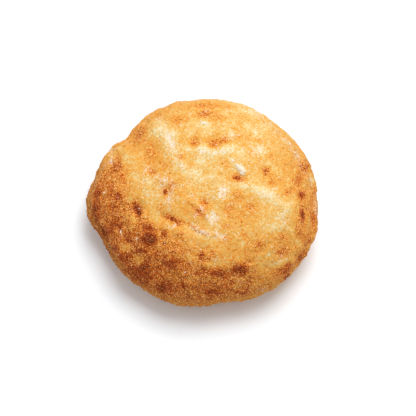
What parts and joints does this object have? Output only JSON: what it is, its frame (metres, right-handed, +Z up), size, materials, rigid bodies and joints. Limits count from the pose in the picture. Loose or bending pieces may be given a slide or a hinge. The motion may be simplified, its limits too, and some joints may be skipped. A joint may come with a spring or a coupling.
{
  "type": "bread roll",
  "caption": "Round crusty panini roll with a broad, dimpled and blistered crown, bulging sides and a flat base, to split and fill or serve whole.",
  "frame": {"origin": "on the floor, under the middle of the roll's outline seen from above", "axes": "+Z straight up, out of the crown; +X across the roll, along its longest width, away from the pointed side; +Y from front to back"},
  "size_m": [0.1154, 0.1086, 0.0469],
  "materials": {
    "baked_crust": "dry browned bread crust"
  },
  "bodies": {
    "root": {"bun": "baked_crust"}
  },
  "joints": []
}
